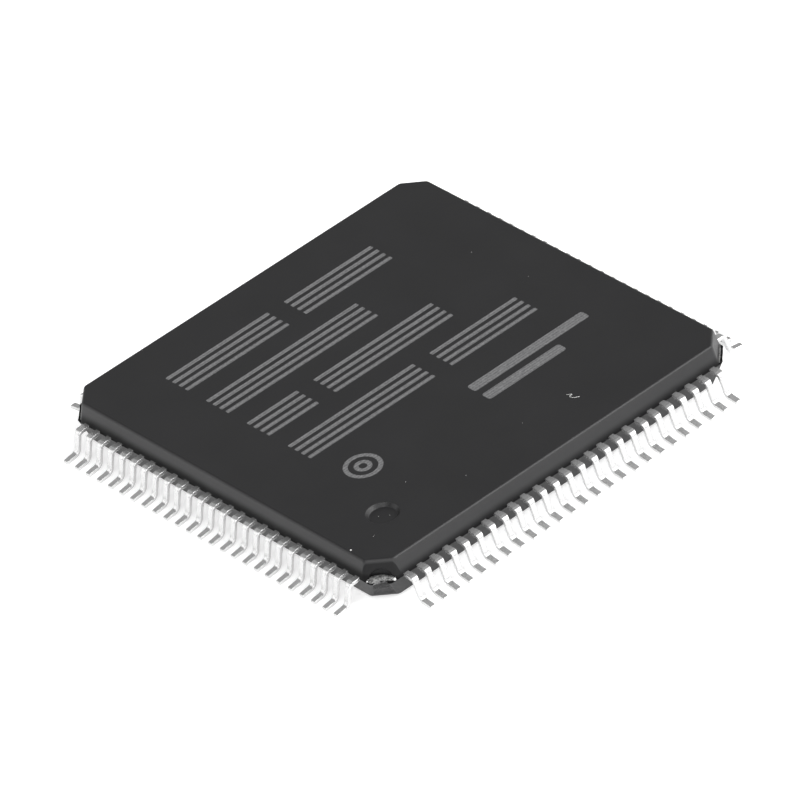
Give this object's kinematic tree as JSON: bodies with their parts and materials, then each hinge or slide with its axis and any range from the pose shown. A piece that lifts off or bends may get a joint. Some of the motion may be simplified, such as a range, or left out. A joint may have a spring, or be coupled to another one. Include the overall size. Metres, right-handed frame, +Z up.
{
  "type": "quad flat pack chip",
  "caption": "Low-profile quad flat pack: thin square moulded body with cut corners, round pin 1 dimple and gull-wing leads along each side.",
  "frame": {"origin": "centre of the seating plane that the lead tips rest on", "axes": "+Z up through the body's top face; +X along the side of pins 1 to 25; pin 1 is at the -X -Y corner and pins count counter-clockwise seen from above"},
  "size_m": [0.016, 0.016, 0.0015],
  "materials": {
    "mould_compound": "fine matt moulded epoxy, near black",
    "tinned_leads": "satin tin plating",
    "frame_copper": "bare copper alloy strip",
    "attach_film": "silver-filled epoxy film",
    "silicon": "polished silicon",
    "gold_wire": "drawn gold wire"
  },
  "bodies": {
    "root": {"mould_body": "mould_compound", "die_paddle_and_tie_bars": "frame_copper", "die_attach_film": "attach_film", "silicon_die": "silicon", "bond_wires_pins_001_025": "gold_wire", "bond_wires_pins_026_050": "gold_wire", "bond_wires_pins_051_075": "gold_wire", "bond_wires_pins_076_100": "gold_wire", "leads_001_005": "tinned_leads", "leads_006_010": "tinned_leads", "leads_011_015": "tinned_leads", "leads_016_020": "tinned_leads", "leads_021_025": "tinned_leads", "leads_026_030": "tinned_leads", "leads_031_035": "tinned_leads", "leads_036_040": "tinned_leads", "leads_041_045": "tinned_leads", "leads_046_050": "tinned_leads", "leads_051_055": "tinned_leads", "leads_056_060": "tinned_leads", "leads_061_065": "tinned_leads", "leads_066_070": "tinned_leads", "leads_071_075": "tinned_leads", "leads_076_080": "tinned_leads", "leads_081_085": "tinned_leads", "leads_086_090": "tinned_leads", "leads_091_095": "tinned_leads", "leads_096_100": "tinned_leads"}
  },
  "joints": []
}
